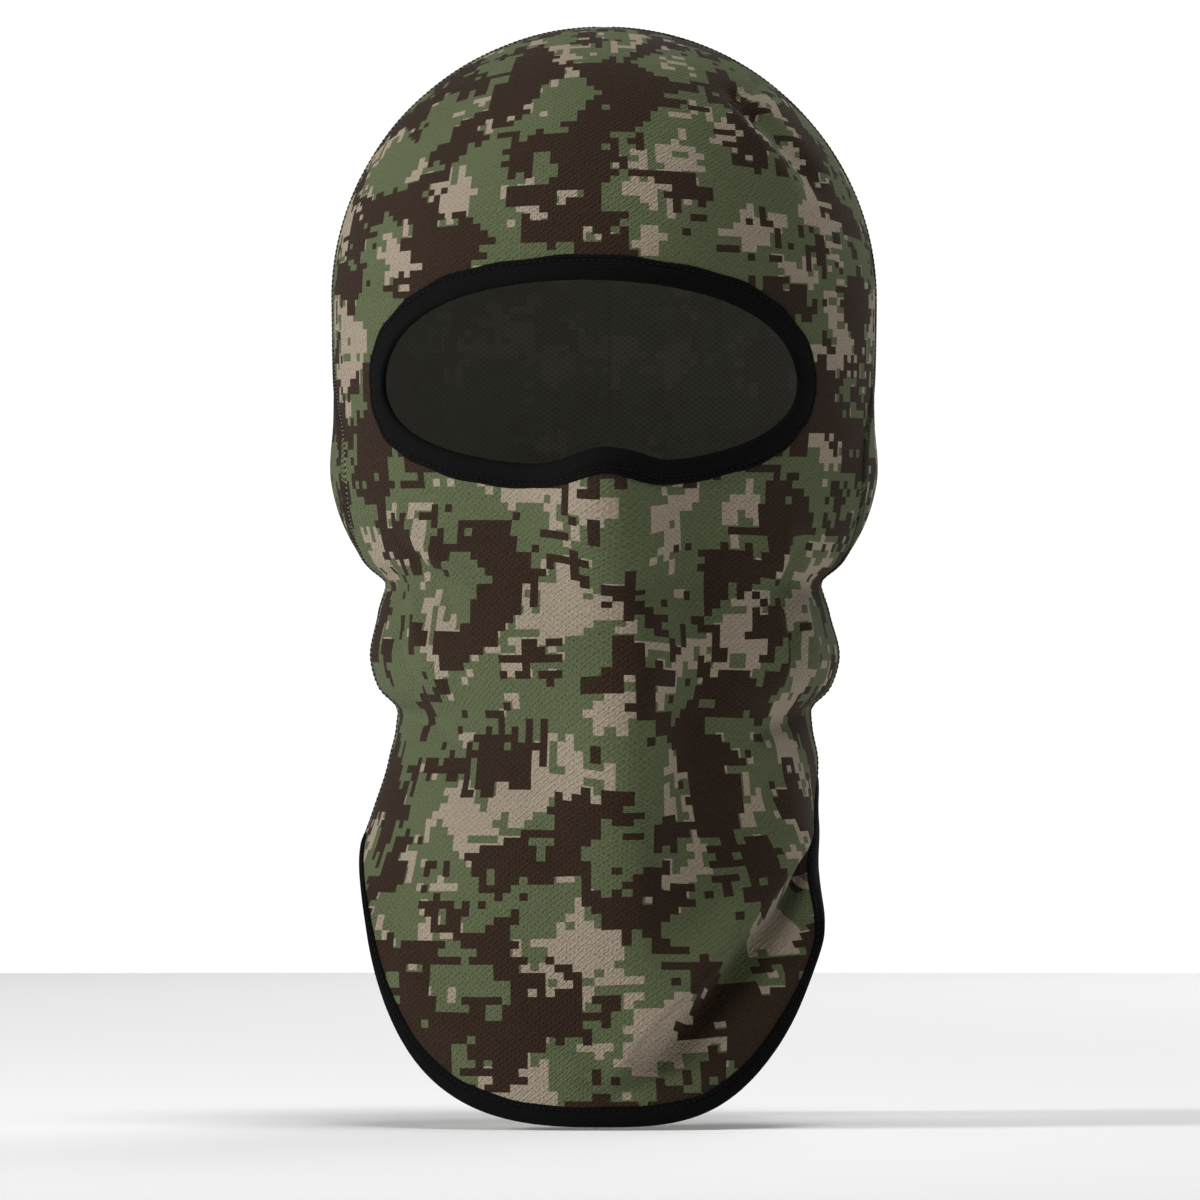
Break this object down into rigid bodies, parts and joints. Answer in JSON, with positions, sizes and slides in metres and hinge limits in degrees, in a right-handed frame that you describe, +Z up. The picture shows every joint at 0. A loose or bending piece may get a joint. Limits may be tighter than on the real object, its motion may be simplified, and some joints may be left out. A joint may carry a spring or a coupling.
{
  "type": "camo face mask",
  "caption": "Thin stretch-knit hood that covers head, face and neck, with a bound goggle-shaped eye opening, a round front bib and a short nape flap, in a small-square camouflage print.",
  "frame": {"origin": "middle of the head at the hood's widest level, just above the eye opening", "axes": "+Z up towards the crown, -Y out of the face, +X to the wearer's left, which is the viewer's right"},
  "size_m": [0.1668, 0.2104, 0.3278],
  "materials": {
    "camo_knit": "matte stretch knit with a printed pattern of green, dark brown and tan squares",
    "black_tape": "matte black folded knit tape",
    "seam_thread": "polyester flatlock thread",
    "black_thread": "black polyester thread",
    "label_satin": "plain pale satin tape"
  },
  "bodies": {
    "hood": {"face_panel": "camo_knit", "hood_panel_left": "camo_knit", "hood_panel_right": "camo_knit", "eye_binding": "black_tape", "eye_stitch": "black_thread", "hem_binding_left": "black_tape", "hem_binding_right": "black_tape", "hem_stitch_left": "black_thread", "hem_stitch_right": "black_thread", "side_seam_left": "seam_thread", "side_seam_right": "seam_thread", "back_seam": "seam_thread", "care_label": "label_satin"},
    "bib": {"bib_panel": "camo_knit", "hem_binding_bib": "black_tape", "hem_stitch_bib": "black_thread"},
    "nape": {"nape_panel_left": "camo_knit", "nape_panel_right": "camo_knit", "nape_seam": "seam_thread", "hem_binding_nape": "black_tape", "hem_stitch_nape": "black_thread"}
  },
  "joints": [
    {"name": "bib_lift", "type": "hinge", "parent": "hood", "child": "bib", "pos_m": [0, -0.0905, -0.172], "axis": [-1, 0, 0], "range_deg": [0, 55], "stiffness_Nm_per_rad": 0.004, "springref_deg": -17.19},
    {"name": "nape_lift", "type": "hinge", "parent": "hood", "child": "nape", "pos_m": [0, 0.075, -0.172], "axis": [1, 0, 0], "range_deg": [0, 45], "stiffness_Nm_per_rad": 0.003, "springref_deg": -17.19}
  ]
}
